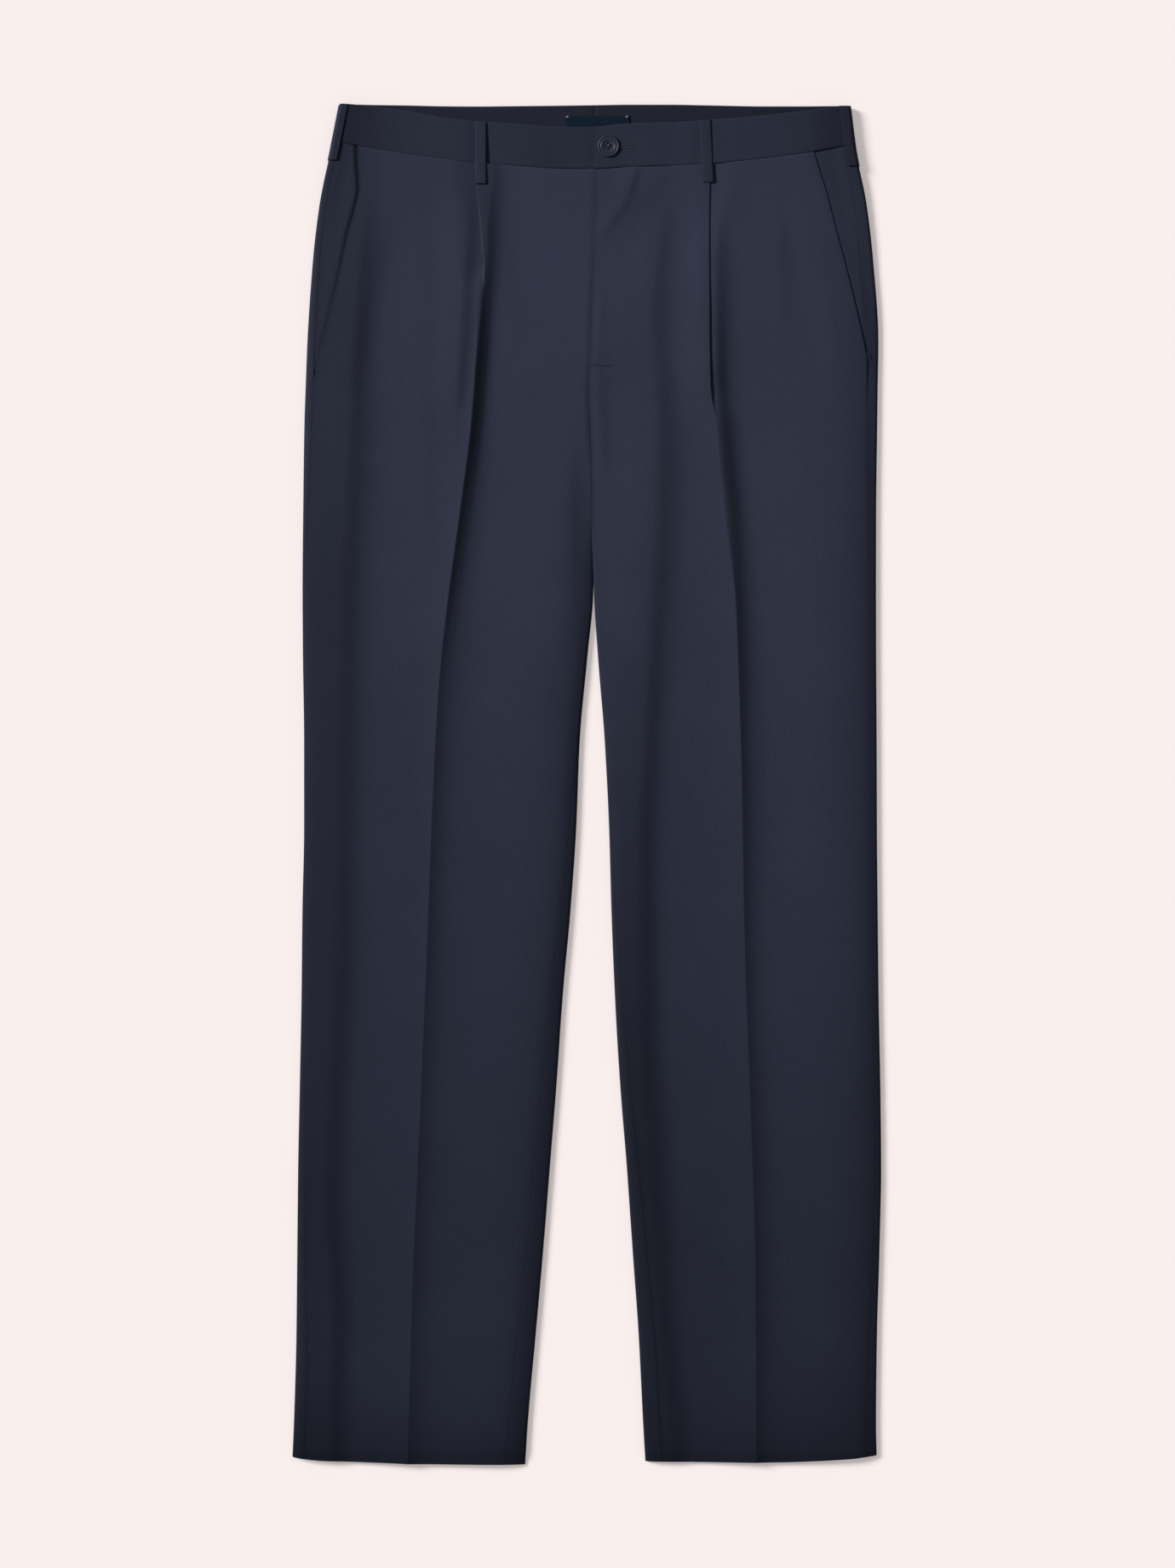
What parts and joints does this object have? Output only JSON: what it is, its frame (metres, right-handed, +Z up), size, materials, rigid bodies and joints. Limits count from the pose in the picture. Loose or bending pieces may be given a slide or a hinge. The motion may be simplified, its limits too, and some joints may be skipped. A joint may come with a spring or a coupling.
{
  "type": "pleated dress trousers",
  "caption": "Men's pleated dress trousers laid flat on their back, with a buttoned waistband, belt loops, slanted pockets and pressed creases.",
  "frame": {"origin": "centre of the bounding box, on the surface that the trousers lie on", "axes": "+Y from the hems towards the waist, +Z up out of the front face, +X towards the wearer's left"},
  "size_m": [0.4561, 1.0535, 0.011],
  "materials": {
    "suiting": "matt navy wool suiting",
    "button": "satin navy resin",
    "label": "dark satin tape"
  },
  "bodies": {
    "root": {"front_right": "suiting", "front_left": "suiting", "back_right": "suiting", "back_left": "suiting", "side_pocket_right": "suiting", "side_pocket_left": "suiting", "waistband_right": "suiting", "waistband_left": "suiting", "belt_loop_front_right": "suiting", "belt_loop_front_left": "suiting", "belt_loop_side_right": "suiting", "belt_loop_side_left": "suiting", "belt_loop_back": "suiting", "button": "button", "label": "label"}
  },
  "joints": []
}
